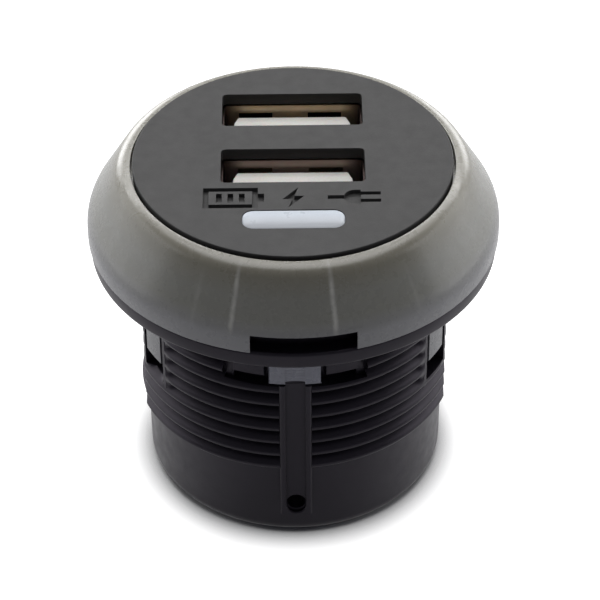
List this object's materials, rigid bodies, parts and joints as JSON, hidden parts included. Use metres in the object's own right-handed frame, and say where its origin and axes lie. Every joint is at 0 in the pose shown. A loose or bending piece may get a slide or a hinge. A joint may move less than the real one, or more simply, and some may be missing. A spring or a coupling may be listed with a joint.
{
  "type": "car dual usb socket",
  "caption": "Round panel socket with a threaded barrel, a grey trim ring and charging ports in a flat face for a vehicle dashboard.",
  "frame": {"origin": "centre of the rear rim, on which the socket stands", "axes": "+Z along the barrel axis out of the face, -Y towards the key rail"},
  "size_m": [0.0374, 0.0374, 0.0331],
  "materials": {
    "housing": "satin moulded",
    "trim_ring": "satin moulded",
    "face_plate": "fine matt",
    "light_pipe": "frosted",
    "port_shell": "plated",
    "port_tongue": "moulded",
    "circuit_board": "solder mask",
    "indicator_led": "moulded",
    "inductor": "ferrite",
    "capacitor": "tinned",
    "chip": "moulded",
    "terminal": "tinned",
    "port_contact": "gold plated"
  },
  "bodies": {
    "root": {"capacitor_1": "capacitor", "capacitor_2": "capacitor", "charge_control_chip": "chip", "circuit_board": "circuit_board", "face_plate": "face_plate", "housing": "housing", "indicator_led": "indicator_led", "inductor": "inductor", "input_fuse": "capacitor", "light_pipe": "light_pipe", "port_contact_1_1": "port_contact", "port_contact_1_2": "port_contact", "port_contact_1_3": "port_contact", "port_contact_1_4": "port_contact", "port_contact_2_1": "port_contact", "port_contact_2_2": "port_contact", "port_contact_2_3": "port_contact", "port_contact_2_4": "port_contact", "port_shell_1": "port_shell", "port_shell_2": "port_shell", "port_tongue_1": "port_tongue", "port_tongue_2": "port_tongue", "protection_diode": "chip", "regulator_chip": "chip", "terminal_negative": "terminal", "terminal_positive": "terminal", "trim_ring": "trim_ring"}
  },
  "joints": []
}
